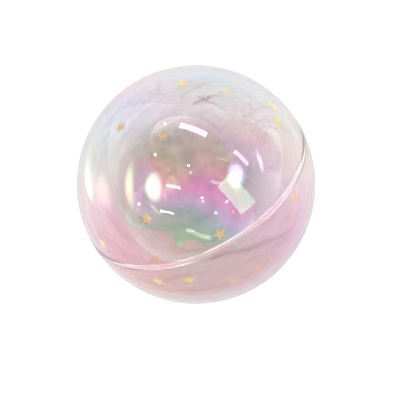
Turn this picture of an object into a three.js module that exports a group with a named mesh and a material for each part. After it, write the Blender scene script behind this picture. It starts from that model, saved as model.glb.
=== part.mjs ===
// A clear snap-together ball, 60 mm across, filled with pink star-foil tulle.
// Millimetres, +Z up. The origin is the ball's centre and +Z is the axis that the two halves part along.

import * as THREE from 'three';

// Clear shell
const BALL_RADIUS = 30;
const WALL = 0.7;
const RIM_STANDOUT = 0.05;
const RIM_HEIGHT = 0.9;
const RIM_BLEND = 0.4;
const SEAM_GAP = 0.3;
const TONGUE_HEIGHT = 1;
const TONGUE_WALL = 0.3;
const TONGUE_STEP = 0.05;
const TONGUE_FOOT = 1;
const TONGUE_CHAMFER = 0.1;
const TONGUE_CLEARANCE = 0.15;
const TONGUE_HEADROOM = 0.2;
const AROUND_STEPS = 36;
const ARC_STEPS = 16;
const AXIS_TOLERANCE = 1e-9;

// Tulle: two nets inside the wall and one patch at the back
const NET_THICKNESS = 0.3;
const WRAP_RADIUS = 28.45;
const LINING_RADIUS = 27.5;
const PATCH_RADIUS = 26.6;
const WRAP_TURNS = 48;
const WRAP_RINGS = 9;
const LINING_TURNS = 32;
const LINING_RINGS = 6;
const PATCH_TURNS = 24;
const PATCH_RINGS = 3;

// Star foils, held between the net and the wall
const STAR_SEAT_RADIUS = 28.8;
const STAR_RADIUS = 1.9;
const STAR_NOTCH_RADIUS = 0.85;
const STAR_THICKNESS = 0.15;
const STAR_POINTS = 5;
const STAR_SPIN_STEP = 47;

// How the filling's mouth faces: up from the seam plane, rolled, then lifted a little
const MOUTH_RISE = 34.7;
const MOUTH_ROLL = 30;
const MOUTH_LIFT = 5.5;

// Outlines and places on the filling: [turn about the mouth's axis, lean away from it], in degrees
const MOUTH_EDGE = [
  [10, 50], [27, 53], [38, 43], [57, 39], [77, 38], [92, 36], [105, 41], [126, 52], [139, 65],
  [148, 61], [165, 53], [185, 48], [204, 45], [220, 43], [235, 36], [247, 34], [256, 39],
  [262, 34], [276, 35], [297, 39], [318, 40], [335, 44], [350, 47],
];
const BACK_EDGE = [
  [16, 155], [41, 153], [61, 147], [77, 141], [97, 136], [118, 134], [128, 139], [140, 147],
  [152, 153], [169, 151], [184, 145], [201, 138], [224, 137], [262, 139], [307, 142], [333, 144],
  [348, 150],
];
const LINING_EDGE = [
  [205, 100], [215, 84], [232, 75], [250, 69], [268, 65], [286, 63], [302, 62], [318, 66],
  [330, 80], [335, 98], [326, 118], [300, 130], [265, 131], [235, 128], [213, 116],
];
const LINING_CENTRE = [268, 98];
const PATCH_EDGE = [[69, 142], [48, 151], [28, 142], [13, 127], [27, 119], [42, 121], [61, 126]];
const PATCH_CENTRE = [42, 135];
const FRONT_STARS = [
  [82, 84], [120, 84], [98, 54], [71, 50], [68, 63], [149, 84], [136, 72], [168, 88], [166, 63],
  [29, 83], [35, 58], [38, 86], [20, 87], [349, 58], [350, 90], [202, 91], [214, 73], [244, 51],
  [250, 67], [266, 59], [240, 94], [250, 94], [275, 95], [278, 79], [291, 66], [317, 93],
  [328, 92], [305, 65], [59, 85], [49, 84], [44, 64],
];
const BACK_STARS = [
  [120, 143], [50, 133], [39, 127], [207, 150], [301, 155], [90, 112], [140, 118], [180, 122],
  [225, 116], [265, 124], [345, 120], [10, 108], [310, 118],
];

const INNER_RADIUS = BALL_RADIUS - WALL;
const RIM_RADIUS = BALL_RADIUS + RIM_STANDOUT;
const TONGUE_INSIDE = INNER_RADIUS - TONGUE_STEP;
const TONGUE_OUTSIDE = TONGUE_INSIDE + TONGUE_WALL;
const REBATE_RADIUS = TONGUE_OUTSIDE + TONGUE_CLEARANCE;
const REBATE_TOP = TONGUE_HEIGHT + TONGUE_HEADROOM;
const OUTWARD = new THREE.Vector3(0, 0, 1);

function radians(degrees) {
  return THREE.MathUtils.degToRad(degrees);
}

function turnAbout(x, y, z, degrees) {
  return new THREE.Quaternion().setFromAxisAngle(new THREE.Vector3(x, y, z), radians(degrees));
}

// Turns +Z to the mouth's axis, with +X to the mouth's right and +Y above it.
const mouthFrame = turnAbout(1, 0, 0, 90 - MOUTH_RISE)
  .multiply(turnAbout(0, 0, 1, -MOUTH_ROLL))
  .multiply(turnAbout(1, 0, 0, -MOUTH_LIFT));

function directionAt([turn, lean]) {
  const across = Math.sin(radians(lean));
  return new THREE.Vector3(
    across * Math.cos(radians(turn)),
    across * Math.sin(radians(turn)),
    Math.cos(radians(lean)),
  ).applyQuaternion(mouthFrame);
}

// The lean of an outline at any turn, eased from each listed place to the next.
function leanAt(edge, turn) {
  const after = Math.max(edge.findIndex(([edgeTurn]) => edgeTurn > turn), 0);
  const next = edge[after];
  const previous = edge.at(after - 1);
  const span = (next[0] - previous[0] + 360) % 360;
  const passed = (turn - previous[0] + 360) % 360;
  const share = THREE.MathUtils.smoothstep(passed / span, 0, 1);
  return THREE.MathUtils.lerp(previous[1], next[1], share);
}

// An outline about the mouth's axis, with one direction for each step of turn.
function roundMouth(edge, steps) {
  const directions = [];
  for (let i = 0; i < steps; i += 1) {
    const turn = (360 * i) / steps;
    directions.push(directionAt([turn, leanAt(edge, turn)]));
  }
  return directions;
}

// A smooth closed outline through a list of places, as directions.
function outlineThrough(places, steps) {
  const curve = new THREE.CatmullRomCurve3(places.map(directionAt), true, 'centripetal');
  return curve.getSpacedPoints(steps).slice(0, steps).map((point) => point.normalize());
}

// The direction that lies a share of the way round from one direction to another.
function between(from, to, share) {
  const angle = from.angleTo(to);
  const start = from.clone().multiplyScalar(Math.sin((1 - share) * angle));
  const end = to.clone().multiplyScalar(Math.sin(share * angle));
  return start.add(end).normalize();
}

function clearPlastic() {
  return new THREE.MeshStandardMaterial({
    color: 0xeee6f2, roughness: 0.05, metalness: 0, transparent: true, opacity: 0.3,
  });
}

function pinkNet() {
  return new THREE.MeshStandardMaterial({ color: 0xf2d3dd, roughness: 0.85, metalness: 0 });
}

function goldFoil() {
  return new THREE.MeshStandardMaterial({ color: 0xd99a45, roughness: 0.3, metalness: 0.9 });
}

function named(name, geometry, material) {
  const mesh = new THREE.Mesh(geometry, material);
  mesh.name = name;
  return mesh;
}

// Lathe points on a circle about the ball's centre, from one height to another.
function arc(radius, fromHeight, toHeight) {
  const from = Math.asin(fromHeight / radius);
  const to = Math.asin(toHeight / radius);
  const points = [];
  for (let i = 0; i <= ARC_STEPS; i += 1) {
    const angle = from + ((to - from) * i) / ARC_STEPS;
    const onAxis = Math.cos(angle) < AXIS_TOLERANCE;
    points.push(new THREE.Vector2(onAxis ? 0 : radius * Math.cos(angle), radius * Math.sin(angle)));
  }
  return points;
}

function revolved(points) {
  return new THREE.LatheGeometry(points, AROUND_STEPS).rotateX(Math.PI / 2);
}

// The lower half carries the tongue that the upper half snaps over.
function lowerHalf() {
  const outside = arc(BALL_RADIUS, -BALL_RADIUS, -RIM_HEIGHT - RIM_BLEND);
  const rim = [
    new THREE.Vector2(RIM_RADIUS, -RIM_HEIGHT),
    new THREE.Vector2(RIM_RADIUS, 0),
    new THREE.Vector2(TONGUE_OUTSIDE, 0),
    new THREE.Vector2(TONGUE_OUTSIDE, TONGUE_HEIGHT - TONGUE_CHAMFER),
    new THREE.Vector2(TONGUE_OUTSIDE - TONGUE_CHAMFER, TONGUE_HEIGHT),
    new THREE.Vector2(TONGUE_INSIDE, TONGUE_HEIGHT),
  ];
  const inside = arc(INNER_RADIUS, -TONGUE_FOOT, -INNER_RADIUS);
  return named('lower_half', revolved([...outside, ...rim, ...inside]), clearPlastic());
}

// The upper half has a rebate inside its rim that takes the tongue.
function upperHalf() {
  const inside = arc(INNER_RADIUS, INNER_RADIUS, REBATE_TOP);
  const rim = [
    new THREE.Vector2(REBATE_RADIUS, REBATE_TOP),
    new THREE.Vector2(REBATE_RADIUS, SEAM_GAP),
    new THREE.Vector2(RIM_RADIUS, SEAM_GAP),
    new THREE.Vector2(RIM_RADIUS, SEAM_GAP + RIM_HEIGHT),
  ];
  const outside = arc(BALL_RADIUS, SEAM_GAP + RIM_HEIGHT + RIM_BLEND, BALL_RADIUS);
  return named('upper_half', revolved([...inside, ...rim, ...outside]), clearPlastic());
}

// A thin closed sheet on a sphere, from one outline to another. An outline that is one direction
// repeated closes the sheet at a point.
function netSheet(name, firstEdge, lastEdge, rings, outerRadius) {
  const turns = firstEdge.length;
  const closesAtPoint = lastEdge.every((direction) => direction === lastEdge[0]);
  const positions = [];
  for (const radius of [outerRadius, outerRadius - NET_THICKNESS]) {
    for (let ring = 0; ring <= rings; ring += 1) {
      for (let turn = 0; turn < turns; turn += 1) {
        const place = between(firstEdge[turn], lastEdge[turn], ring / rings);
        positions.push(...place.multiplyScalar(radius).toArray());
      }
    }
  }
  const at = (layer, ring, turn) => {
    const column = closesAtPoint && ring === rings ? 0 : turn % turns;
    return (layer * (rings + 1) + ring) * turns + column;
  };
  const faces = [];
  const triangle = (a, b, c) => {
    if (a !== b && b !== c && c !== a) faces.push(a, b, c);
  };
  const quad = (a, b, c, d) => {
    triangle(a, b, c);
    triangle(a, c, d);
  };
  for (let turn = 0; turn < turns; turn += 1) {
    const next = turn + 1;
    for (let ring = 0; ring < rings; ring += 1) {
      const inner = ring + 1;
      quad(at(0, ring, turn), at(0, inner, turn), at(0, inner, next), at(0, ring, next));
      quad(at(1, ring, turn), at(1, ring, next), at(1, inner, next), at(1, inner, turn));
    }
    quad(at(0, 0, turn), at(0, 0, next), at(1, 0, next), at(1, 0, turn));
    if (!closesAtPoint) {
      quad(at(0, rings, turn), at(1, rings, turn), at(1, rings, next), at(0, rings, next));
    }
  }
  const geometry = new THREE.BufferGeometry();
  geometry.setAttribute('position', new THREE.Float32BufferAttribute(positions, 3));
  geometry.setIndex(faces);
  const sheet = geometry.toNonIndexed();
  sheet.computeVertexNormals();
  return named(name, sheet, pinkNet());
}

// The wrap lies against the wall all round, open at the mouth in front and again behind.
function tulleWrap() {
  const mouth = roundMouth(MOUTH_EDGE, WRAP_TURNS);
  const back = roundMouth(BACK_EDGE, WRAP_TURNS);
  return netSheet('tulle_wrap', mouth, back, WRAP_RINGS, WRAP_RADIUS);
}

function tullePatch(name, places, centre, turns, rings, outerRadius) {
  const edge = outlineThrough(places, turns);
  const middle = new Array(turns).fill(directionAt(centre));
  return netSheet(name, edge, middle, rings, outerRadius);
}

function starShape() {
  const shape = new THREE.Shape();
  for (let i = 0; i < 2 * STAR_POINTS; i += 1) {
    const reach = i % 2 === 0 ? STAR_RADIUS : STAR_NOTCH_RADIUS;
    const angle = (Math.PI * i) / STAR_POINTS;
    const place = [reach * Math.cos(angle), reach * Math.sin(angle)];
    if (i === 0) shape.moveTo(...place);
    else shape.lineTo(...place);
  }
  shape.closePath();
  return shape;
}

// A flat star foil that lies along the wall, each one turned a little further than the last.
function starFoil(place, index) {
  const geometry = new THREE.ExtrudeGeometry(starShape(), {
    depth: STAR_THICKNESS, bevelEnabled: false,
  }).translate(0, 0, -STAR_THICKNESS / 2);
  const number = String(index + 1).padStart(2, '0');
  const star = named(`star_foil_${number}`, geometry, goldFoil());
  const direction = directionAt(place);
  star.quaternion.setFromUnitVectors(OUTWARD, direction);
  star.rotateZ(radians(STAR_SPIN_STEP * index));
  star.position.copy(direction).multiplyScalar(STAR_SEAT_RADIUS);
  return star;
}

const filling = new THREE.Group();
filling.add(
  tulleWrap(),
  tullePatch('tulle_lining', LINING_EDGE, LINING_CENTRE, LINING_TURNS, LINING_RINGS, LINING_RADIUS),
  tullePatch('tulle_back_patch', PATCH_EDGE, PATCH_CENTRE, PATCH_TURNS, PATCH_RINGS, PATCH_RADIUS),
  ...[...FRONT_STARS, ...BACK_STARS].map(starFoil),
);

const ball = new THREE.Group();
ball.add(lowerHalf(), upperHalf(), filling);

export default ball;
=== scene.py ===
"""A clear snap-together ball filled with pink star-foil tulle, built around its CAD frame."""
import math

import bpy
import numpy as np
from mathutils import Matrix, Quaternion, Vector, noise


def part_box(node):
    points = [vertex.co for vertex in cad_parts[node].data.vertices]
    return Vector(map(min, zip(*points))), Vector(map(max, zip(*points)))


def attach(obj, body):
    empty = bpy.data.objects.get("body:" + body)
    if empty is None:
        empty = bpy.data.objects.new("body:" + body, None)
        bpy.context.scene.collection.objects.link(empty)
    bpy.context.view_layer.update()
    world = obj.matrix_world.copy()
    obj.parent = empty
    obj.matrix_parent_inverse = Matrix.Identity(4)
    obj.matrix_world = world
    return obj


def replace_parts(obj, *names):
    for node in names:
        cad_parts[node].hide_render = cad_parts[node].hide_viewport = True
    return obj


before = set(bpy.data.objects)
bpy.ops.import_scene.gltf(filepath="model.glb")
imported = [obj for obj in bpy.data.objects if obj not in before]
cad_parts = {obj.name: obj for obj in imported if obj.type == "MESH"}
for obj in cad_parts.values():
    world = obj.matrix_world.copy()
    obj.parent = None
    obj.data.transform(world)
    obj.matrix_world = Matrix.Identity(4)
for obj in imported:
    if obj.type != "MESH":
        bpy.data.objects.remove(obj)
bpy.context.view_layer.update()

MM = 0.001

# Sizes read from the frame
LOWER_LOW, LOWER_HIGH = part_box("lower_half")
UPPER_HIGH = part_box("upper_half")[1]
BALL_RADIUS = UPPER_HIGH.z
RIM_RADIUS = LOWER_HIGH.x
TONGUE_HEIGHT = LOWER_HIGH.z

# Shell section, as in the CAD, with a longer blend from the sphere to the rim
WALL = 0.7 * MM
RIM_HEIGHT = 0.9 * MM
RIM_BLEND = 0.8 * MM
TONGUE_STEP = 0.05 * MM
TONGUE_WALL = 0.3 * MM
TONGUE_CLEARANCE = 0.15 * MM
TONGUE_HEADROOM = 0.2 * MM
INNER_RADIUS = BALL_RADIUS - WALL
TONGUE_INSIDE = INNER_RADIUS - TONGUE_STEP
TONGUE_OUTSIDE = TONGUE_INSIDE + TONGUE_WALL
REBATE_RADIUS = TONGUE_OUTSIDE + TONGUE_CLEARANCE
REBATE_TOP = TONGUE_HEIGHT + TONGUE_HEADROOM

# How the mouth of the filling faces, and how the camera looks at it
MOUTH_RISE = math.radians(34.7)
MOUTH_ROLL = math.radians(30)
MOUTH_LIFT = math.radians(5.5)

CAMERA_DISTANCE = 0.8
FRAME_WIDTH = 100.4 * MM
BALL_LEFT_OF_CENTRE = 1.0 * MM
BALL_ABOVE_CENTRE = 3.9 * MM
SENSOR_WIDTH = 36.0
CLIP_END = 20

AXIS_X = Vector((1, 0, 0))
AXIS_Z = Vector((0, 0, 1))
view_turn = Quaternion(AXIS_X, math.pi / 2 - MOUTH_RISE) @ Quaternion(AXIS_Z, -MOUTH_ROLL)
mouth_turn = view_turn @ Quaternion(AXIS_X, -MOUTH_LIFT)


def from_viewer(x, y, z):
    """A direction given as seen in the photograph: right, up and towards the viewer."""
    return view_turn @ Vector((x, y, z)).normalized()


def filling_direction(turn, lean):
    """The direction at a turn about the mouth's axis and a lean away from it, in degrees."""
    turn, lean = math.radians(turn), math.radians(lean)
    across = math.sin(lean)
    return mouth_turn @ Vector((across * math.cos(turn), across * math.sin(turn), math.cos(lean)))


# ---------------------------------------------------------------- camera


def add_camera():
    data = bpy.data.cameras.new("camera")
    data.sensor_width = SENSOR_WIDTH
    data.lens = SENSOR_WIDTH * CAMERA_DISTANCE / FRAME_WIDTH
    data.clip_end = CLIP_END
    camera = bpy.data.objects.new("camera", data)
    aim = view_turn @ Vector((BALL_LEFT_OF_CENTRE, -BALL_ABOVE_CENTRE, 0))
    turn = view_turn.to_matrix().to_4x4()
    camera.matrix_world = Matrix.Translation(aim + from_viewer(0, 0, 1) * CAMERA_DISTANCE) @ turn
    bpy.context.scene.collection.objects.link(camera)
    bpy.context.scene.camera = camera


# ---------------------------------------------------------------- materials

# Ways across the ball as the photograph shows it
VIEW_UP = from_viewer(0, 1, 0)
VIEW_LEFT = from_viewer(-1, 0, 0)
VIEW_AWAY = from_viewer(0, 0, -1)
# The middle of the painted reflection on the far side, strong iridescent colours painted into the
# coat, and how its bands lean
PAINTED_REFLECTION_MIDDLE = from_viewer(-0.06, -0.04, -1)
PAINTED_REFLECTION_UP = from_viewer(0.31, 0.95, 0)

# Painted reflection on the far side: strong and dark iridescent colours painted into the coat, by
# the share of the height there
PAINTED_REFLECTION_BANDS = [
    (0.12, (0.60, 0.66, 0.58)),
    (0.22, (0.34, 0.42, 0.31)),
    (0.30, (0.27, 0.29, 0.24)),
    (0.355, (0.36, 0.31, 0.36)),
    (0.41, (0.50, 0.25, 0.44)),
    (0.47, (0.64, 0.17, 0.38)),
    (0.53, (0.55, 0.27, 0.23)),
    (0.60, (0.43, 0.31, 0.20)),
    (0.68, (0.42, 0.39, 0.27)),
    (0.76, (0.44, 0.34, 0.43)),
    (0.86, (0.60, 0.50, 0.61)),
]
# Pale tints of the coat elsewhere, by the share of the height
COAT_TINTS = [
    (0.10, (1.0, 0.955, 0.97)),
    (0.35, (0.99, 0.95, 0.985)),
    (0.52, (0.985, 0.98, 0.97)),
    (0.70, (0.985, 1.0, 0.965)),
    (0.84, (0.95, 0.98, 1.0)),
]
# A dark tint where the coat is seen edge-on: painted shade along the ball's outline
COAT_EDGE_PAINTED_SHADE = (0.20, 0.06, 0.10)
# Thickness of the coat's film in nanometres
FILM_BELOW = 420
FILM_ABOVE = 240
FILM_MORE_AT_LEFT = 140
# How near a point is to the wall's outside, or its inside, to count as on it
SURFACE_DEPTH = 0.1 * MM
# The joint's level faces, their roughness and how much light their contact lets straight through
JOINT_FACES = 0.12 * MM
JOINT_ROUGHNESS = 0.15
JOINT_CONTACT = 0.75
SHELL_ROUGHNESS = 0.02
# Bounces after which light is let out of the wall
TRAPPED_DEPTH = 6.5

# Colours of the net, by the share of the height
NET_TINTS = [
    (0.0, (0.88, 0.52, 0.59)),
    (0.30, (0.92, 0.57, 0.63)),
    (0.50, (0.96, 0.94, 0.94)),
    (0.85, (0.85, 0.96, 1.0)),
]
NET_ROSY = (0.88, 0.56, 0.66)
NET_BEHIND = (0.97, 0.92, 0.92)
# Darker pink for the fold marks (laps, hem, gather and patch edges): partly denser doubled cloth,
# partly painted shade
NET_FOLD_DENSITY_AND_SHADE = (0.66, 0.30, 0.40)
NET_THREAD = (0.80, 0.50, 0.58)
MOST_COVER = 0.97

# Colours of the gold foil, by its grain
GOLD_TINTS = [
    (0.35, (1.0, 0.60, 0.14)),
    (0.5, (1.0, 0.72, 0.18)),
    (0.65, (1.0, 0.90, 0.45)),
]


def new_material(name):
    """A material with an empty node tree, and short helpers to add and join its nodes."""
    material = bpy.data.materials.new(name)
    material.use_nodes = True
    tree = material.node_tree
    tree.nodes.clear()

    def add(kind, inputs=None, **settings):
        node = tree.nodes.new(kind)
        for key, value in settings.items():
            setattr(node, key, value)
        for key, value in (inputs or {}).items():
            node.inputs[key].default_value = value
        return node

    def join(output, target):
        tree.links.new(output, target)

    return material, add, join


def map_range(add, join, source, start, end, low, high, smooth=False):
    """A Map Range node fed by source, and its output socket."""
    kind = "SMOOTHSTEP" if smooth else "LINEAR"
    node = add("ShaderNodeMapRange", interpolation_type=kind, inputs={
        "From Min": start, "From Max": end, "To Min": low, "To Max": high,
    })
    join(source, node.inputs["Value"])
    return node.outputs["Result"]


def math_node(add, join, operation, a, b=0):
    """A Math node on two sockets or numbers, and its output socket."""
    node = add("ShaderNodeMath", operation=operation)
    for socket, value in zip(node.inputs, (a, b)):
        if isinstance(value, (int, float)):
            socket.default_value = value
        else:
            join(value, socket)
    return node.outputs["Value"]


def ramp(add, join, source, stops):
    """A colour ramp fed by source, through (position, colour) stops."""
    node = add("ShaderNodeValToRGB")
    elements = node.color_ramp.elements
    while len(elements) < len(stops):
        elements.new(0.5)
    for element, (position, colour) in zip(elements, stops):
        element.position = position
        element.color = (*colour, 1)
    join(source, node.inputs["Fac"])
    return node.outputs["Color"]


def mix_colours(add, join, share, first, second):
    """Goes from the first colour, a socket, to the second, a socket or a constant colour."""
    node = add("ShaderNodeMix", data_type="RGBA")
    join(share, node.inputs["Factor"])
    join(first, node.inputs["A"])
    if isinstance(second, tuple):
        node.inputs["B"].default_value = (*second, 1)
    else:
        join(second, node.inputs["B"])
    return node.outputs["Result"]


def mix_shaders(add, join, share, first, second):
    node = add("ShaderNodeMixShader")
    join(share, node.inputs["Fac"])
    join(first, node.inputs[1])
    join(second, node.inputs[2])
    return node.outputs["Shader"]


def distance_along(add, join, place, way, wobble=0.0, scale=40):
    """How far a point lies along a way from the ball's centre, with an optional soft wobble."""
    distance = add("ShaderNodeVectorMath", operation="DOT_PRODUCT", inputs={1: way})
    join(place, distance.inputs[0])
    if not wobble:
        return distance.outputs["Value"]
    drift = add("ShaderNodeTexNoise", inputs={"Scale": scale, "Detail": 2})
    join(place, drift.inputs["Vector"])
    shift = map_range(add, join, drift.outputs["Fac"], 0.3, 0.7, -wobble, wobble)
    return math_node(add, join, "ADD", distance.outputs["Value"], shift)


def share_along(add, join, place, way, wobble, scale):
    """As distance_along, but as a share from 0 at one end of the ball to 1 at the other."""
    distance = distance_along(add, join, place, way, wobble, scale)
    return map_range(add, join, distance, -BALL_RADIUS, BALL_RADIUS, 0, 1)


def coat_tint_and_painted_light(add, join, place):
    """The coat's colour: painted iridescent reflection in cloudy bands on the far side, pale tints
    elsewhere, and a dark tint where it is seen edge-on, painted shade along the outline."""
    # Painted reflection: strong iridescent colours painted on the far side of the coat
    share = share_along(add, join, place, PAINTED_REFLECTION_UP, wobble=3.4 * MM, scale=75)
    bands = ramp(add, join, share, PAINTED_REFLECTION_BANDS)
    clouds = add("ShaderNodeTexNoise", inputs={"Scale": 170, "Detail": 8, "Roughness": 0.75})
    join(place, clouds.inputs["Vector"])
    shade = map_range(add, join, clouds.outputs["Fac"], 0.35, 0.65, 0.68, 1.25)
    cloudy = add("ShaderNodeVectorMath", operation="SCALE")
    join(bands, cloudy.inputs[0])
    join(shade, cloudy.inputs["Scale"])

    height = share_along(add, join, place, VIEW_UP, wobble=9 * MM, scale=42)
    tints = ramp(add, join, height, COAT_TINTS)
    away = distance_along(add, join, place, PAINTED_REFLECTION_MIDDLE)
    strength = map_range(add, join, away, 0.62 * BALL_RADIUS, 0.87 * BALL_RADIUS, 0, 1,
                         smooth=True)
    coat = mix_colours(add, join, strength, tints, cloudy.outputs["Vector"])

    # Painted shade along the outline, where the coat is seen edge-on
    facing = add("ShaderNodeLayerWeight").outputs["Facing"]
    edge = map_range(add, join, facing, 0.6, 0.9, 0, 1, smooth=True)
    return mix_colours(add, join, edge, coat, COAT_EDGE_PAINTED_SHADE)


def film_thickness(add, join, place):
    """The coat's film is thinner towards the top and thicker towards the left."""
    height = distance_along(add, join, place, VIEW_UP, wobble=2.4 * MM, scale=110)
    film = map_range(add, join, height, -BALL_RADIUS, BALL_RADIUS, FILM_BELOW, FILM_ABOVE)
    leftward = distance_along(add, join, place, VIEW_LEFT)
    more = map_range(add, join, leftward, 0, BALL_RADIUS, 0, FILM_MORE_AT_LEFT)
    return math_node(add, join, "ADD", film, more)


def joint_contact(add, join, from_joint, normal):
    """How much light the joint's level faces let straight through, as they press together."""
    contact = map_range(add, join, from_joint, 0.5 * JOINT_FACES, JOINT_FACES, JOINT_CONTACT, 0)
    split = add("ShaderNodeSeparateXYZ")
    join(normal, split.inputs["Vector"])
    upright = math_node(add, join, "ABSOLUTE", split.outputs["Z"])
    level_face = math_node(add, join, "GREATER_THAN", upright, 0.9)
    return math_node(add, join, "MULTIPLY", contact, level_face)


def clear_shell_material():
    """Clear plastic with an aurora coat. The film is on the outside only, the joint's faces carry
    no coat, and light that has bounced in the wall many times is let out."""
    material, add, join = new_material("clear_shell")
    output = add("ShaderNodeOutputMaterial")
    plastic = add("ShaderNodeBsdfPrincipled", inputs={
        "Transmission Weight": 1, "IOR": 1.49, "Thin Film IOR": 1.8,
    })
    coords = add("ShaderNodeTexCoord")
    place = coords.outputs["Object"]

    length = add("ShaderNodeVectorMath", operation="LENGTH")
    join(place, length.inputs[0])
    radius = length.outputs["Value"]
    outside = math_node(add, join, "GREATER_THAN", radius, BALL_RADIUS - SURFACE_DEPTH)
    beyond_inside = math_node(add, join, "GREATER_THAN", radius, INNER_RADIUS + SURFACE_DEPTH)
    in_joint = math_node(add, join, "SUBTRACT", beyond_inside, outside)
    film = math_node(add, join, "MULTIPLY", film_thickness(add, join, place), outside)
    join(film, plastic.inputs["Thin Film Thickness"])
    colour = mix_colours(add, join, in_joint, coat_tint_and_painted_light(add, join, place), (1, 1, 1))
    join(colour, plastic.inputs["Base Color"])

    split = add("ShaderNodeSeparateXYZ")
    join(place, split.inputs["Vector"])
    from_joint = math_node(add, join, "ABSOLUTE", split.outputs["Z"])
    roughness = map_range(add, join, from_joint, 0.5 * JOINT_FACES, JOINT_FACES,
                          JOINT_ROUGHNESS, SHELL_ROUGHNESS)
    join(roughness, plastic.inputs["Roughness"])

    bounces = add("ShaderNodeLightPath").outputs["Ray Depth"]
    trapped = math_node(add, join, "GREATER_THAN", bounces, TRAPPED_DEPTH)
    contact = joint_contact(add, join, from_joint, coords.outputs["Normal"])
    straight = math_node(add, join, "MAXIMUM", trapped, contact)
    clear = add("ShaderNodeBsdfTransparent").outputs["BSDF"]
    surface = mix_shaders(add, join, straight, plastic.outputs["BSDF"], clear)
    join(surface, output.inputs["Surface"])
    depth = add("ShaderNodeVolumeAbsorption", inputs={
        "Color": (0.86, 0.82, 0.85, 1), "Density": 60,
    })
    join(depth.outputs["Volume"], output.inputs["Volume"])
    return material


def thread_web(add, join, across, along):
    """Where the net's threads are, from 0 to 1. They cross the cloth both ways on the slant."""
    threads = []
    for operation in ("ADD", "SUBTRACT"):
        lean = math_node(add, join, operation, across, along)
        ridge = math_node(add, join, "PINGPONG", lean, 0.5)
        threads.append(map_range(add, join, ridge, 0.05, 0.13, 1, 0, smooth=True))
    return math_node(add, join, "MAXIMUM", threads[0], threads[1])


def net_colour(add, join, place, behind, fold, web):
    """The net's colour: by height, with rosy patches, darker threads, and folds darker partly as
    denser cloth, partly as painted shade.
    """
    height = share_along(add, join, place, VIEW_UP, wobble=6 * MM, scale=60)
    tint = ramp(add, join, height, NET_TINTS)
    patches = add("ShaderNodeTexNoise", inputs={"Scale": 95, "Detail": 3, "Distortion": 0.6})
    join(place, patches.inputs["Vector"])
    rosy = map_range(add, join, patches.outputs["Fac"], 0.5, 0.72, 0, 0.32, smooth=True)
    colour = mix_colours(add, join, rosy, tint, NET_ROSY)
    colour = mix_colours(add, join, behind, colour, NET_BEHIND)
    # Folds darken partly as denser cloth, partly as painted shade
    fold_density_and_shade = math_node(add, join, "MULTIPLY", fold, 0.4)
    colour = mix_colours(add, join, fold_density_and_shade, colour, NET_FOLD_DENSITY_AND_SHADE)
    thread = math_node(add, join, "MULTIPLY", web, 0.5)
    return mix_colours(add, join, thread, colour, NET_THREAD)


def net_cover(add, join, across, along, behind, fold, web, haze, cover):
    """How much of the light the net stops: more on its threads, streaks and folds, and behind."""
    opacity = map_range(add, join, web, 0, 1, haze, cover)
    stretched = add("ShaderNodeCombineXYZ")
    join(math_node(add, join, "MULTIPLY", across, 0.05), stretched.inputs["X"])
    join(math_node(add, join, "MULTIPLY", along, 0.2), stretched.inputs["Y"])
    streaks = add("ShaderNodeTexNoise", inputs={"Scale": 1.0, "Detail": 3, "Distortion": 0.8})
    join(stretched.outputs["Vector"], streaks.inputs["Vector"])
    layered = map_range(add, join, streaks.outputs["Fac"], 0.35, 0.65, -0.18, 0.22)
    thicker = math_node(add, join, "MULTIPLY", fold, 0.25)
    doubled = math_node(add, join, "MULTIPLY", behind, 0.6)
    for extra in (layered, thicker, doubled):
        opacity = math_node(add, join, "ADD", opacity, extra)
    return math_node(add, join, "MINIMUM", opacity, MOST_COVER)


def net_material(name, haze, cover):
    """Soft tulle: a fine net of thin pink threads, with a milky haze between them."""
    material, add, join = new_material(name)
    output = add("ShaderNodeOutputMaterial")
    coords = add("ShaderNodeTexCoord")
    place = coords.outputs["Object"]
    split = add("ShaderNodeSeparateXYZ")
    join(coords.outputs["UV"], split.inputs["Vector"])
    across, along = split.outputs["X"], split.outputs["Y"]
    web = thread_web(add, join, across, along)
    fold = add("ShaderNodeAttribute", attribute_name="fold").outputs["Fac"]
    away = distance_along(add, join, place, VIEW_AWAY)
    behind = map_range(add, join, away, 0, 0.8 * BALL_RADIUS, 0, 0.4, smooth=True)

    colour = net_colour(add, join, place, behind, fold, web)
    cloth = add("ShaderNodeBsdfPrincipled", inputs={
        "Roughness": 0.6, "Sheen Weight": 0.3, "Sheen Roughness": 0.4, "Specular IOR Level": 0.3,
    })
    join(colour, cloth.inputs["Base Color"])
    through = add("ShaderNodeBsdfTranslucent")
    join(colour, through.inputs["Color"])
    body = add("ShaderNodeMixShader", inputs={"Fac": 0.5})
    join(cloth.outputs["BSDF"], body.inputs[1])
    join(through.outputs["BSDF"], body.inputs[2])

    opacity = net_cover(add, join, across, along, behind, fold, web, haze, cover)
    clear = add("ShaderNodeBsdfTransparent").outputs["BSDF"]
    join(mix_shaders(add, join, opacity, clear, body.outputs["Shader"]), output.inputs["Surface"])
    return material


def gold_foil_material():
    """Thin gold foil with a soft grain."""
    material, add, join = new_material("gold_foil")
    output = add("ShaderNodeOutputMaterial")
    foil = add("ShaderNodeBsdfPrincipled", inputs={"Metallic": 0.15, "Roughness": 0.35})
    place = add("ShaderNodeTexCoord").outputs["Object"]
    grain = add("ShaderNodeTexNoise", inputs={"Scale": 160, "Detail": 2})
    join(place, grain.inputs["Vector"])
    join(ramp(add, join, grain.outputs["Fac"], GOLD_TINTS), foil.inputs["Base Color"])
    join(foil.outputs["BSDF"], output.inputs["Surface"])
    return material


def floor_material():
    """Plain pale floor that glows a little, so that it stays pale under the ball."""
    material, add, join = new_material("pale_floor")
    output = add("ShaderNodeOutputMaterial")
    surface = add("ShaderNodeBsdfPrincipled", inputs={
        "Base Color": (0.12, 0.12, 0.12, 1), "Roughness": 0.9,
        "Emission Color": (1, 1, 1, 1), "Emission Strength": 0.97,
    })
    join(surface.outputs["BSDF"], output.inputs["Surface"])
    return material


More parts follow.
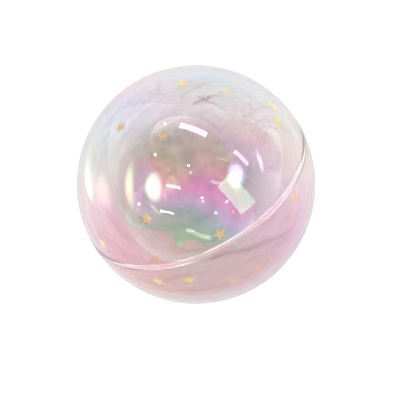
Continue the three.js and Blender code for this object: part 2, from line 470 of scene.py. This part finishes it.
# ---------------------------------------------------------------- meshes


def add_piece(name, vertices, faces, material, body):
    mesh = bpy.data.meshes.new(name)
    mesh.from_pydata(vertices, [], faces)
    mesh.materials.append(material)
    mesh.shade_smooth()
    piece = bpy.data.objects.new(name, mesh)
    bpy.context.scene.collection.objects.link(piece)
    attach(piece, body)
    return piece


# ---------------------------------------------------------------- clear halves

ARC_STEPS = 60
AROUND_STEPS = 192
VISIBLE_GAP = 0.04 * MM
RIM_ROUND = 0.08 * MM
RIM_STEPS = 8
TONGUE_FOOT = 1 * MM
SHARP_ANGLE = math.radians(35)


def arc(radius, from_height, to_height):
    """Section points, as (radius, height), on a circle about the ball's centre."""
    start, end = math.asin(from_height / radius), math.asin(to_height / radius)
    angles = np.linspace(start, end, ARC_STEPS)
    return [(max(radius * math.cos(a), 0), radius * math.sin(a)) for a in angles]


def rim_section(side, level):
    """The rim and its blend from the sphere, on the side below (-1) or above (1) a level, as
    section points towards the seam."""
    points = []
    for step in range(1, RIM_STEPS):
        share = step / RIM_STEPS
        height = level + side * (RIM_HEIGHT + RIM_BLEND * (1 - share))
        sphere = math.sqrt(BALL_RADIUS ** 2 - height ** 2)
        ease = share * share * (3 - 2 * share)
        points.append((sphere + (RIM_RADIUS - sphere) * ease, height))
    points.append((RIM_RADIUS, level + side * RIM_HEIGHT))
    points.append((RIM_RADIUS, level + side * RIM_ROUND))
    return points


def revolve(name, section, material, body):
    """A closed solid of revolution about Z. The section starts and ends on the axis."""
    middle = section[1:-1]
    vertices = [(0, 0, section[0][1])]
    for step in range(AROUND_STEPS):
        angle = 2 * math.pi * step / AROUND_STEPS
        vertices += [(r * math.cos(angle), r * math.sin(angle), z) for r, z in middle]
    vertices.append((0, 0, section[-1][1]))
    last = len(vertices) - 1
    count = len(middle)
    faces = []
    for step in range(AROUND_STEPS):
        here = 1 + step * count
        there = 1 + (step + 1) % AROUND_STEPS * count
        faces.append((0, there, here))
        for i in range(count - 1):
            faces.append((here + i, there + i, there + i + 1, here + i + 1))
        faces.append((here + count - 1, there + count - 1, last))
    piece = add_piece(name, vertices, faces, material, body)
    piece.data.set_sharp_from_angle(angle=SHARP_ANGLE)
    return piece


def add_shells():
    material = clear_shell_material()
    lower = arc(BALL_RADIUS, -BALL_RADIUS, -RIM_HEIGHT - RIM_BLEND)
    lower += rim_section(-1, 0)
    lower += [
        (RIM_RADIUS - RIM_ROUND, 0),
        (TONGUE_OUTSIDE, 0),
        (TONGUE_OUTSIDE, TONGUE_HEIGHT - RIM_ROUND),
        (TONGUE_OUTSIDE - RIM_ROUND, TONGUE_HEIGHT),
        (TONGUE_INSIDE, TONGUE_HEIGHT),
    ]
    lower += arc(INNER_RADIUS, -TONGUE_FOOT, -INNER_RADIUS)
    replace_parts(revolve("lower_clear_half", lower, material, "lower_half"), "lower_half")
    upper = arc(INNER_RADIUS, INNER_RADIUS, REBATE_TOP)
    upper += [
        (REBATE_RADIUS, REBATE_TOP),
        (REBATE_RADIUS, VISIBLE_GAP),
        (RIM_RADIUS - RIM_ROUND, VISIBLE_GAP),
    ]
    upper += rim_section(1, VISIBLE_GAP)[::-1]
    upper += arc(BALL_RADIUS, VISIBLE_GAP + RIM_HEIGHT + RIM_BLEND, BALL_RADIUS)
    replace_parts(revolve("upper_clear_half", upper, material, "upper_half"), "upper_half")


# ---------------------------------------------------------------- nets

# Outlines on the filling, as (turn about the mouth's axis, lean away from it) in degrees
MOUTH_EDGE = [
    (10, 50), (27, 53), (38, 43), (57, 39), (77, 38), (92, 36), (105, 41), (126, 52), (139, 65),
    (148, 61), (165, 53), (185, 48), (204, 45), (220, 43), (235, 36), (247, 34), (256, 39),
    (262, 34), (276, 35), (297, 39), (318, 40), (335, 44), (350, 47),
]
BACK_EDGE = [
    (16, 155), (41, 153), (61, 147), (77, 141), (97, 136), (118, 134), (128, 139), (140, 147),
    (152, 153), (169, 151), (184, 145), (201, 138), (224, 137), (262, 139), (307, 142), (333, 144),
    (348, 150),
]
LINING_EDGE = [
    (205, 100), (215, 84), (232, 75), (250, 69), (268, 65), (286, 63), (302, 62), (318, 66),
    (330, 80), (335, 98), (326, 118), (300, 130), (265, 131), (235, 128), (213, 116),
]
LINING_CENTRE = (268, 98)
PATCH_EDGE = [(69, 142), (48, 151), (28, 142), (13, 127), (27, 119), (42, 121), (61, 126)]
PATCH_CENTRE = (42, 135)

WRAP_RADIUS = 29.25 * MM
LINING_RADIUS = 28.2 * MM
PATCH_RADIUS = 27.4 * MM
WRAP_TURNS = 480
WRAP_RINGS = 130
PATCH_TURNS = 240
PATCH_RINGS = 40
NET_PITCH = 0.7 * MM

# The gathered edge of the mouth: how far it turns in, and the widths over which it does and shows
HEM_SINK = 1.1 * MM
HEM_WIDTH = 1.2 * MM
HEM_LINE = 0.4 * MM
HEM_DARK = 1.1
# The gather below the mouth: its turn, how far below the edge it lies, its widths and darkness
GATHER_TURN = 262
GATHER_BELOW = 10
GATHER_TURN_WIDTH = 50
GATHER_BELOW_WIDTH = 14
GATHER_DARK = 0.8
# A patch's edge line, and the distance from its edge in to its centre, roughly
PATCH_LINE = 0.6 * MM
PATCH_REACH = 12 * MM
PATCH_DARK = 0.5
# Ripples: their depths and how many lie across the ball
WRAP_RIPPLE = 0.5 * MM
WRAP_RIPPLES = 4.1
PATCH_RIPPLE = 0.9 * MM
PATCH_RIPPLES = 5.3
DARKEST_FOLD = 2.4

# Laps in the net: from, to, half width, how far the cloth laps and its depth in mm, and how dark,
# partly as denser cloth and partly as painted shade
CREASES = [
    ((280, 46), (331, 65), 1.2, 1.8, 0.9, 1.6),
    ((288, 43), (323, 58), 0.9, 1.2, 0.7, 0.8),
    ((229, 93), (262, 56), 1.0, 1.2, 0.7, 1.0),
    ((255, 42), (300, 40), 0.9, 1.0, 0.6, 0.6),
    ((202, 84), (229, 68), 1.1, 1.2, 0.6, 0.8),
    ((246, 79), (282, 67), 1.1, 1.2, 0.6, 0.8),
    ((194, 54), (227, 51), 1.0, 1.0, 0.5, 0.6),
    ((110, 62), (117, 44), 0.9, 0.9, 0.5, 0.4),
    ((102, 42), (77, 57), 0.9, 1.0, 0.6, 0.5),
    ((104, 51), (80, 64), 1.0, 1.0, 0.6, 0.4),
    ((56, 37), (47, 61), 0.9, 1.1, 0.7, 0.5),
    ((50, 37), (35, 65), 0.9, 1.1, 0.7, 0.5),
    ((42, 39), (27, 63), 0.9, 1.0, 0.6, 0.5),
    ((133, 85), (109, 79), 1.1, 1.0, 0.5, 0.4),
    ((92, 38), (78, 43), 0.30, 0.9, 0.8, 2.2),
    ((84, 44), (75, 45), 0.30, 0.9, 0.8, 2.2),
    ((88, 42), (74, 40), 0.30, 0.9, 0.8, 2.2),
]


def smooth_step(x):
    x = np.clip(x, 0, 1)
    return x * x * (3 - 2 * x)


def bump(x, width):
    """A smooth bump, 1 where x is 0, that fades away over a width on each side."""
    return np.exp(-((x / width) ** 2))


def unit(vectors):
    return vectors / np.linalg.norm(vectors, axis=-1, keepdims=True)


def directions_at(turns, leans):
    """Directions on the filling for arrays of turns and leans in degrees."""
    turns, leans = np.radians(turns), np.radians(leans)
    across = np.sin(leans)
    local = np.stack([across * np.cos(turns), across * np.sin(turns), np.cos(leans)], -1)
    return local @ np.array(mouth_turn.to_matrix()).T


def smooth_outline(edge, turns):
    """Leans at an array of turns, on a smooth closed curve through an outline's places."""
    known = np.array(edge, float)
    x = np.concatenate([known[-2:, 0] - 360, known[:, 0], known[:2, 0] + 360])
    y = np.concatenate([known[-2:, 1], known[:, 1], known[:2, 1]])
    slope = np.zeros(len(x))
    slope[1:-1] = (y[2:] - y[:-2]) / (x[2:] - x[:-2])
    i = np.clip(np.searchsorted(x, turns, side="right") - 1, 1, len(x) - 3)
    width = x[i + 1] - x[i]
    t = (turns - x[i]) / width
    rest = 1 - t
    ease = t * t * (3 - 2 * t)
    bend = width * t * rest * (slope[i] * rest - slope[i + 1] * t)
    return y[i] * (1 - ease) + y[i + 1] * ease + bend


def lap(directions, creases):
    """Laps the cloth over itself along each crease. Returns the new directions, how far each point
    sinks in from the wall, and how strongly it belongs to a fold."""
    sink = np.zeros(len(directions))
    fold = np.zeros(len(directions))
    for start, end, width, reach, depth, dark in creases:
        width, reach, depth = width * MM, reach * MM, depth * MM
        first = np.array(filling_direction(*start))
        last = np.array(filling_direction(*end))
        normal = unit(np.cross(first, last))
        ahead = np.cross(normal, first)
        length = math.atan2(last @ ahead, last @ first)
        side = directions @ normal * WRAP_RADIUS
        along = np.arctan2(directions @ ahead, directions @ first) / length
        taper = smooth_step((along + 0.25) / 0.4) * smooth_step((1.25 - along) / 0.4)
        near = bump(side, 5 * width) * taper
        side_share = np.tanh(side / width)
        directions = unit(directions - normal * (reach * side_share * near / WRAP_RADIUS)[:, None])
        sink += depth * 0.5 * (1 + side_share) * near
        fold = np.maximum(fold, dark * bump(side, 1.9 * width) * taper)
    return directions, sink, fold


def ripples(directions, size, depth):
    """Soft uneven sinking of the cloth, in metres."""
    level = [abs(noise.noise(Vector(d) * size)) + 0.4 * abs(noise.noise(Vector(d) * size * 2.7))
             for d in directions]
    return np.array(level) * depth


def net_piece(name, directions, radius, fold, grid, places, material, node):
    """A net as a mesh grid, with its cloth coordinates counted in threads."""
    columns, rows = grid
    vertices = directions * radius[:, None]
    faces = []
    for column in range(columns - 1):
        for row in range(rows - 1):
            a = column * rows + row
            faces.append((a, a + 1, a + rows + 1, a + rows))
    piece = add_piece(name, vertices.tolist(), faces, material, "filling")
    mesh = piece.data
    corners = np.zeros(len(mesh.loops), int)
    mesh.loops.foreach_get("vertex_index", corners)
    layer = mesh.uv_layers.new(name="cloth")
    layer.data.foreach_set("uv", places[corners].astype(np.float32).ravel())
    folds = mesh.attributes.new("fold", "FLOAT", "POINT")
    folds.data.foreach_set("value", np.clip(fold, 0, DARKEST_FOLD).astype(np.float32))
    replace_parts(piece, node)
    return piece


def add_wrap():
    """The outer net: against the wall all round, open at the mouth and again behind."""
    columns, rows = WRAP_TURNS + 1, WRAP_RINGS + 1
    turns = np.repeat(np.linspace(0, 360, columns), rows)
    share = np.tile(np.linspace(0, 1, rows), columns)
    start = smooth_outline(MOUTH_EDGE, turns % 360)
    end = smooth_outline(BACK_EDGE, turns % 360)
    leans = start + (end - start) * share
    directions = directions_at(turns, leans)
    around = round(2 * math.pi * WRAP_RADIUS / NET_PITCH)
    places = np.stack([around * turns / 360, np.radians(leans) * WRAP_RADIUS / NET_PITCH], -1)
    directions, sink, fold = lap(directions, CREASES)
    from_mouth = np.radians(leans - start) * WRAP_RADIUS
    sink += HEM_SINK * bump(from_mouth, HEM_WIDTH)
    fold = np.maximum(fold, HEM_DARK * bump(from_mouth, HEM_LINE))
    below = bump(leans - start - GATHER_BELOW, GATHER_BELOW_WIDTH)
    fold = fold + GATHER_DARK * below * bump(turns - GATHER_TURN, GATHER_TURN_WIDTH)
    radius = WRAP_RADIUS - sink - ripples(directions, WRAP_RIPPLES, WRAP_RIPPLE)
    material = net_material("pink_tulle", 0.40, 0.96)
    net_piece("net_wrap", directions, radius, fold, (columns, rows), places, material,
              "tulle_wrap")


def add_patch(name, edge, centre, base, creases, twist, node):
    """A loose piece of net from an outline in to its centre."""
    columns, rows = PATCH_TURNS + 1, PATCH_RINGS + 1
    ring = np.array([filling_direction(*place) for place in edge])
    middle = np.array(filling_direction(*centre))
    count = len(ring)
    t = np.linspace(0, count, columns)
    i = np.floor(t).astype(int)
    f = (t - i)[:, None]
    p0, p1, p2, p3 = (ring[(i + k) % count] for k in (-1, 0, 1, 2))
    rim = 0.5 * ((2 * p1) + (p2 - p0) * f + (2 * p0 - 5 * p1 + 4 * p2 - p3) * f ** 2
                 + (3 * p1 - p0 - 3 * p2 + p3) * f ** 3)
    share = np.linspace(0, 1, rows)
    directions = unit((rim[:, None, :] * (1 - share)[None, :, None]
                       + middle * share[None, :, None]).reshape(-1, 3))
    side = unit(np.cross(middle, [0.3, 0.2, 0.9]))
    up = np.cross(middle, side)
    lean = np.arccos(np.clip(directions @ middle, -1, 1))
    turn = np.arctan2(directions @ up, directions @ side) + twist
    reach = lean * base / NET_PITCH
    places = np.stack([reach * np.cos(turn), reach * np.sin(turn)], -1)
    directions, sink, fold = lap(directions, creases)
    edge_distance = np.tile(share, columns) * PATCH_REACH
    fold = np.maximum(fold, PATCH_DARK * bump(edge_distance, PATCH_LINE))
    radius = base - sink - ripples(directions, PATCH_RIPPLES, PATCH_RIPPLE)
    material = net_material(name.replace("net", "tulle"), 0.62, 0.95)
    net_piece(name, directions, radius, fold, (columns, rows), places, material, node)


# ---------------------------------------------------------------- stars

STAR_TIP = 1.9 * MM
STAR_NOTCH = 0.85 * MM
STAR_HALF_THICKNESS = 0.04 * MM
STAR_RIDGE = 0.1 * MM


def add_star(node, material):
    points = np.array([v.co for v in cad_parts[node].data.vertices])
    centre = Vector(points.mean(0))
    outward = centre.normalized()
    tip = max((Vector(p) - centre for p in points), key=lambda d: d.length)
    along = (tip - outward * tip.dot(outward)).normalized()
    across = outward.cross(along)
    outline = []
    for i in range(10):
        reach = STAR_TIP if i % 2 == 0 else STAR_NOTCH
        angle = math.pi * i / 5
        flat = along * math.cos(angle) * reach + across * math.sin(angle) * reach
        outline.append((centre + flat).normalized() * centre.length)
    vertices = [centre + outward * STAR_RIDGE]
    vertices += [p + outward * STAR_HALF_THICKNESS for p in outline]
    vertices += [p - outward * STAR_HALF_THICKNESS for p in outline]
    vertices.append(centre + outward * (STAR_RIDGE - 2 * STAR_HALF_THICKNESS))
    faces = []
    for i in range(10):
        j = (i + 1) % 10
        faces.append((0, 1 + i, 1 + j))
        faces.append((1 + i, 11 + i, 11 + j, 1 + j))
        faces.append((21, 11 + j, 11 + i))
    piece = add_piece(node.replace("foil", "gold"), vertices, faces, material, "filling")
    piece.data.set_sharp_from_angle(angle=math.radians(1))
    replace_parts(piece, node)


def add_stars():
    material = gold_foil_material()
    for node in sorted(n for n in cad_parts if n.startswith("star_foil")):
        add_star(node, material)


# ---------------------------------------------------------------- studio


FLOOR_REACH = 6.0
WORLD_COLOUR = (0.96, 0.995, 1.07)
# The world's brightness behind the ball and behind the camera, and where it changes
WORLD_LEVELS = {"From Min": 0.3, "From Max": 0.9, "To Min": 1.2, "To Max": 0.9}


def add_floor():
    far, low = FLOOR_REACH, LOWER_LOW.z
    mesh = bpy.data.meshes.new("floor")
    corners = [(-far, -far, low), (far, -far, low), (far, far, low), (-far, far, low)]
    mesh.from_pydata(corners, [], [(0, 1, 2, 3)])
    mesh.materials.append(floor_material())
    floor = bpy.data.objects.new("floor", mesh)
    bpy.context.scene.collection.objects.link(floor)


def soften(data, edge):
    """Fades an area light out from its middle, over the outer share of its half width."""
    data.use_nodes = True
    tree = data.node_tree
    place = tree.nodes.new("ShaderNodeNewGeometry")
    away = tree.nodes.new("ShaderNodeVectorMath")
    away.operation = "DISTANCE"
    away.inputs[1].default_value = (0.5, 0.5, 0)
    tree.links.new(place.outputs["Parametric"], away.inputs[0])
    fade = tree.nodes.new("ShaderNodeMapRange")
    fade.interpolation_type = "SMOOTHSTEP"
    fade.inputs["From Min"].default_value = 0.5
    fade.inputs["From Max"].default_value = 0.5 - 0.5 * edge
    tree.links.new(away.outputs["Value"], fade.inputs["Value"])
    tree.links.new(fade.outputs["Result"], tree.nodes["Emission"].inputs["Strength"])


def add_light(name, spot, size, glow, roll=0, edge=0.0, colour=(1, 1, 1), distance=0.6):
    """An area light that shows at a spot on the ball, right and up of its middle as shares of its
    radius, when its front mirrors it to the viewer."""
    x, y = spot
    z = math.sqrt(1 - x * x - y * y)
    direction = from_viewer(2 * z * x, 2 * z * y, 2 * z * z - 1)
    data = bpy.data.lights.new(name, "AREA")
    data.shape = "RECTANGLE"
    data.size, data.size_y = size
    data.energy = glow * math.pi * data.size * data.size_y
    data.color = colour
    if edge:
        soften(data, edge)
    light = bpy.data.objects.new(name, data)
    turn = math.radians(roll)
    up = from_viewer(-math.sin(turn), math.cos(turn), 0)
    side = up.cross(direction).normalized()
    up = direction.cross(side)
    basis = Matrix((side, up, direction)).transposed().to_4x4()
    light.matrix_world = Matrix.Translation(direction * distance) @ basis
    light.visible_camera = False
    bpy.context.scene.collection.objects.link(light)


def add_world():
    """Bright all round, with the dim side of the room behind the camera."""
    world = bpy.data.worlds.new("studio")
    world.use_nodes = True
    tree = world.node_tree
    background = tree.nodes["Background"]
    place = tree.nodes.new("ShaderNodeTexCoord")
    toward = tree.nodes.new("ShaderNodeVectorMath")
    toward.operation = "DOT_PRODUCT"
    toward.inputs[1].default_value = from_viewer(0, 0, 1)
    tree.links.new(place.outputs["Generated"], toward.inputs[0])
    level = tree.nodes.new("ShaderNodeMapRange")
    level.interpolation_type = "SMOOTHSTEP"
    for key, value in WORLD_LEVELS.items():
        level.inputs[key].default_value = value
    tree.links.new(toward.outputs["Value"], level.inputs["Value"])
    tree.links.new(level.outputs["Result"], background.inputs["Strength"])
    background.inputs["Color"].default_value = (*WORLD_COLOUR, 1)
    bpy.context.scene.world = world


# Small lamps in the room, by where they show on the ball
LAMPS = [
    (-0.06, 0.15), (-0.25, 0.49), (-0.33, 0.24), (0.05, -0.11), (0.16, -0.23), (-0.46, -0.16),
    (0.25, -0.14),
]
LAMP_SIZE = 0.032
LAMP_GLOW = 14


def add_studio():
    add_floor()
    add_world()
    add_light("top_bar", (-0.02, 0.445), (0.26, 0.05), 14, roll=-15)
    add_light("left_soft", (-0.344, -0.022), (0.22, 0.34), 11, edge=1)
    add_light("right_soft", (0.325, 0.075), (0.22, 0.30), 11, edge=1)
    add_light("left_far_wall", (-0.90, -0.04), (0.5, 0.34), 1.6, edge=1, colour=(0.75, 1, 0.85))
    add_light("left_near_wall", (-0.76, -0.07), (0.34, 0.36), 1.6, edge=1, colour=(0.95, 0.95, 1))
    add_light("left_strip", (-0.54, -0.01), (0.14, 0.5), 4, edge=0.9, colour=(1, 0.98, 0.85))
    add_light("right_strip", (0.52, 0.187), (0.06, 0.26), 6, roll=10, edge=0.9)
    add_light("right_wall", (0.79, 0.08), (0.2, 0.5), 4, roll=12, edge=1)
    add_light("low_left_bar", (-0.233, -0.225), (0.13, 0.016), 14, roll=-15)
    add_light("cyan_bar", (-0.18, -0.02), (0.14, 0.03), 6, roll=-12, colour=(0.5, 1, 1))
    add_light("slant_bar", (0.367, 0.215), (0.17, 0.035), 6, roll=-48)
    add_light("window", (0.33, -0.10), (0.12, 0.045), 3.4, roll=-52, distance=0.16,
              colour=(0.85, 1, 0.48))
    for number, spot in enumerate(LAMPS):
        add_light(f"lamp_{number}", spot, (LAMP_SIZE, LAMP_SIZE), LAMP_GLOW, edge=0.6)
    bpy.context.scene.view_settings.view_transform = "Standard"


add_camera()
add_shells()
add_wrap()
add_patch("net_lining", LINING_EDGE, LINING_CENTRE, LINING_RADIUS,
          [((225, 84), (300, 74), 1.0, 1.4, 0.7, 0.8), ((240, 100), (310, 92), 1.0, 1.4, 0.7, 0.8)],
          0.5, "tulle_lining")
add_patch("net_back_patch", PATCH_EDGE, PATCH_CENTRE, PATCH_RADIUS,
          [((30, 126), (60, 144), 0.8, 1.0, 0.5, 0.6)],
          1.1, "tulle_back_patch")
add_stars()
add_studio()
bpy.context.view_layer.update()
